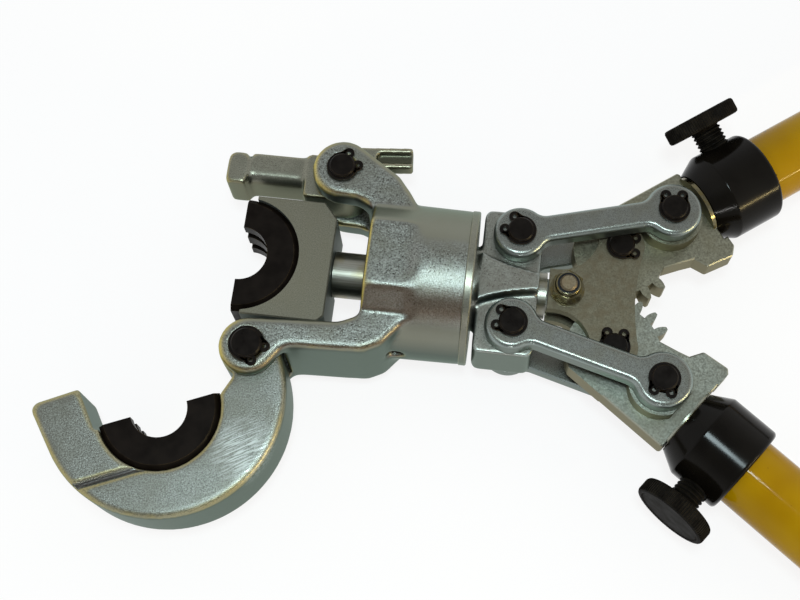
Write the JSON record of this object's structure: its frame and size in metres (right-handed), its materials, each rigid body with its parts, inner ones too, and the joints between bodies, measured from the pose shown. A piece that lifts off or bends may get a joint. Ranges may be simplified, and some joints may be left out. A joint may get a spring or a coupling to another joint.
{
  "type": "hand lever pipe crimper",
  "caption": "Hand pipe crimper: hinged C-shaped jaw with hook latch, interchangeable half dies, swivel head, ram driven by geared toggle levers with telescopic handles.",
  "frame": {"origin": "bore centre of the moving half die on the ram axis, at the tool's mid plane, with the handles spread", "axes": "+X along the ram axis towards the handles, +Z along the pipe axis, out of the tool's upper face, +Y to the latch side"},
  "size_m": [0.5856, 0.5472, 0.0732],
  "materials": {
    "cast_zinc": "grainy zinc plated casting with pale yellow passivation",
    "plated_steel": "zinc plated, satin",
    "bright_steel": "ground bright",
    "black_steel": "black oxide",
    "black_collar": "black, satin",
    "yellow_paint": "glossy yellow",
    "black_grip": "matt black"
  },
  "bodies": {
    "yoke": {"swivel_yoke": "plated_steel", "upper_yoke_pin": "black_steel", "lower_yoke_pin": "black_steel", "yoke_retaining_rings": "black_steel"},
    "head": {"head_casting": "cast_zinc", "jaw_hinge_pin": "black_steel", "latch_pin": "black_steel", "head_retaining_rings": "black_steel", "swivel_stop_screw": "black_steel"},
    "jaw": {"swing_jaw": "cast_zinc", "jaw_die": "black_steel"},
    "latch": {"latch_hook": "cast_zinc"},
    "die_slider": {"die_block": "cast_zinc", "block_die": "black_steel"},
    "crosshead": {"ram_rod": "bright_steel", "top_crosshead_plate": "plated_steel", "bottom_crosshead_plate": "plated_steel", "upper_crosshead_pin": "black_steel", "lower_crosshead_pin": "black_steel", "crosshead_retaining_rings": "black_steel", "ram_bolt": "plated_steel", "ram_nut": "plated_steel", "ram_washers": "plated_steel"},
    "upper_lever": {"upper_gear_lever": "cast_zinc", "upper_link_pin": "black_steel", "upper_link_pin_rings": "black_steel", "upper_inner_tube": "plated_steel"},
    "upper_link": {"upper_top_link": "plated_steel", "upper_bottom_link": "plated_steel"},
    "upper_handle": {"upper_handle_tube": "yellow_paint", "upper_collar": "black_collar", "upper_grip": "black_grip"},
    "upper_thumb": {"upper_thumbscrew": "black_steel"},
    "lower_lever": {"lower_gear_lever": "cast_zinc", "lower_link_pin": "black_steel", "lower_link_pin_rings": "black_steel", "lower_inner_tube": "plated_steel"},
    "lower_link": {"lower_top_link": "plated_steel", "lower_bottom_link": "plated_steel"},
    "lower_handle": {"lower_handle_tube": "yellow_paint", "lower_collar": "black_collar", "lower_grip": "black_grip"},
    "lower_thumb": {"lower_thumbscrew": "black_steel"}
  },
  "joints": [
    {"name": "head_swivel", "type": "hinge", "parent": "yoke", "child": "head", "pos_m": [0.095, 0, 0], "axis": [1, 0, 0], "continuous": true},
    {"name": "jaw_hinge", "type": "hinge", "parent": "head", "child": "jaw", "pos_m": [0.012, -0.046, 0], "axis": [0, 0, 1], "range_deg": [-113, 0]},
    {"name": "latch_hinge", "type": "hinge", "parent": "head", "child": "latch", "pos_m": [0.0432, 0.045, 0], "axis": [0, 0, 1], "range_deg": [-25, 3.5]},
    {"name": "die_slide", "type": "slide", "parent": "head", "child": "die_slider", "axis": [1, 0, 0], "range_m": [-0.0033, 0]},
    {"name": "crosshead_slide", "type": "slide", "parent": "yoke", "child": "crosshead", "axis": [1, 0, 0], "range_m": [-0.0033, 0]},
    {"name": "upper_lever_hinge", "type": "hinge", "parent": "crosshead", "child": "upper_lever", "pos_m": [0.177, 0.025, 0], "axis": [0, 0, 1], "range_deg": [-30, 0]},
    {"name": "lower_lever_hinge", "type": "hinge", "parent": "crosshead", "child": "lower_lever", "pos_m": [0.177, -0.025, 0], "axis": [0, 0, 1], "range_deg": [0, 30]},
    {"name": "upper_link_hinge", "type": "hinge", "parent": "yoke", "child": "upper_link", "pos_m": [0.1294, 0.0222, 0], "axis": [0, 0, 1], "range_deg": [-10.5, 0]},
    {"name": "lower_link_hinge", "type": "hinge", "parent": "yoke", "child": "lower_link", "pos_m": [0.1294, -0.0222, 0], "axis": [0, 0, 1], "range_deg": [0, 10.5]},
    {"name": "upper_handle_slide", "type": "slide", "parent": "upper_lever", "child": "upper_handle", "axis": [0.8059, 0.592, 0], "range_m": [0, 0.2]},
    {"name": "upper_thumbscrew_turn", "type": "hinge", "parent": "upper_handle", "child": "upper_thumb", "pos_m": [0.21275, 0.09019, 0.01], "axis": [-0.5614, 0.7643, 0.3173], "continuous": true},
    {"name": "lower_handle_slide", "type": "slide", "parent": "lower_lever", "child": "lower_handle", "axis": [0.8059, -0.592, 0], "range_m": [0, 0.2]},
    {"name": "lower_thumbscrew_turn", "type": "hinge", "parent": "lower_handle", "child": "lower_thumb", "pos_m": [0.21178, -0.0915, 0], "axis": [-0.592, -0.8059, 0], "continuous": true}
  ],
  "couplings": [
    {"joint": "crosshead_slide", "follows": "upper_lever_hinge", "m_per_rad": 0.006123},
    {"joint": "die_slide", "follows": "upper_lever_hinge", "m_per_rad": 0.006123},
    {"joint": "lower_lever_hinge", "follows": "upper_lever_hinge", "ratio": -1},
    {"joint": "upper_link_hinge", "follows": "upper_lever_hinge", "ratio": 0.346},
    {"joint": "lower_link_hinge", "follows": "upper_lever_hinge", "ratio": -0.346}
  ]
}
